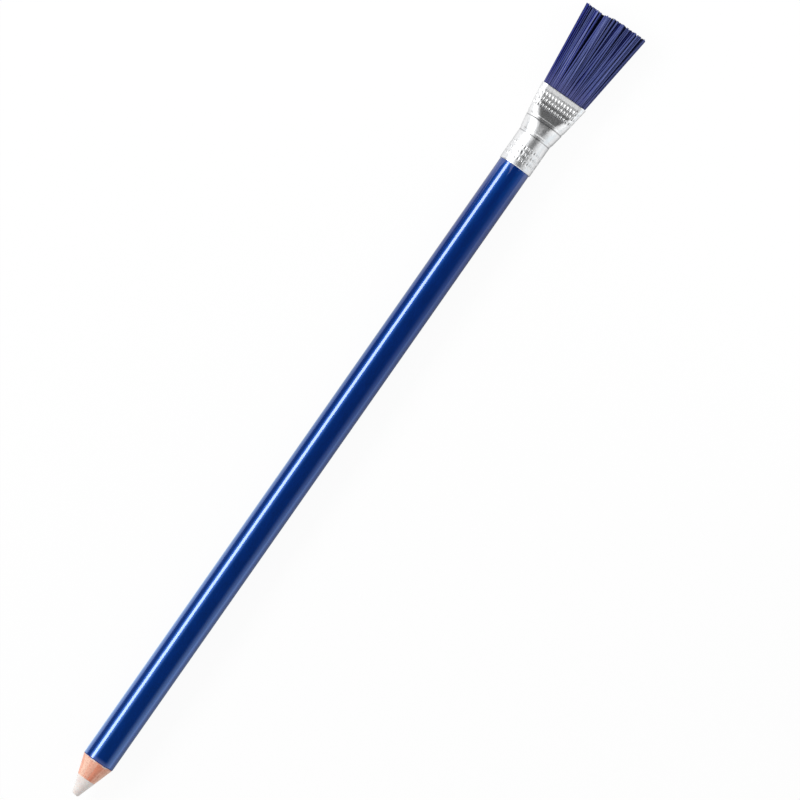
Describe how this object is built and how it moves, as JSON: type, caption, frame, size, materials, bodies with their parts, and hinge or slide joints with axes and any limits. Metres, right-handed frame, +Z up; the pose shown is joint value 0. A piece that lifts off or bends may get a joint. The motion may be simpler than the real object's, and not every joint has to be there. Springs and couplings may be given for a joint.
{
  "type": "pencil eraser stick with brush",
  "caption": "Wood-cased eraser pencil with a sharpened soft core at one end and a flat bristle brush in a pressed metal ferrule at the other.",
  "frame": {"origin": "middle of the overall length, under the axis, on the plane that the pencil lies on", "axes": "+X along the axis from the point towards the brush, +Y across the flat of the brush, +Z up through it"},
  "size_m": [0.2074, 0.0154, 0.0079],
  "materials": {
    "wood": "matte",
    "eraser": "satin",
    "lacquer": "gloss",
    "ferrule_metal": "satin",
    "resin": "satin",
    "bristle": "satin"
  },
  "bodies": {
    "pencil": {"casing_upper": "wood", "casing_lower": "wood", "eraser_core": "eraser", "lacquer_coat": "lacquer", "ferrule": "ferrule_metal", "resin_plug": "resin", "bristle_roots": "bristle"},
    "bristles": {"bristle_tuft": "bristle"}
  },
  "joints": [
    {"name": "bristle_flex", "type": "hinge", "parent": "pencil", "child": "bristles", "pos_m": [0.08345, 0, 0.00396], "axis": [0, 1, 0], "range_deg": [-25, 25], "stiffness_Nm_per_rad": 0.018, "deforming": ["bristle_tuft"]}
  ]
}
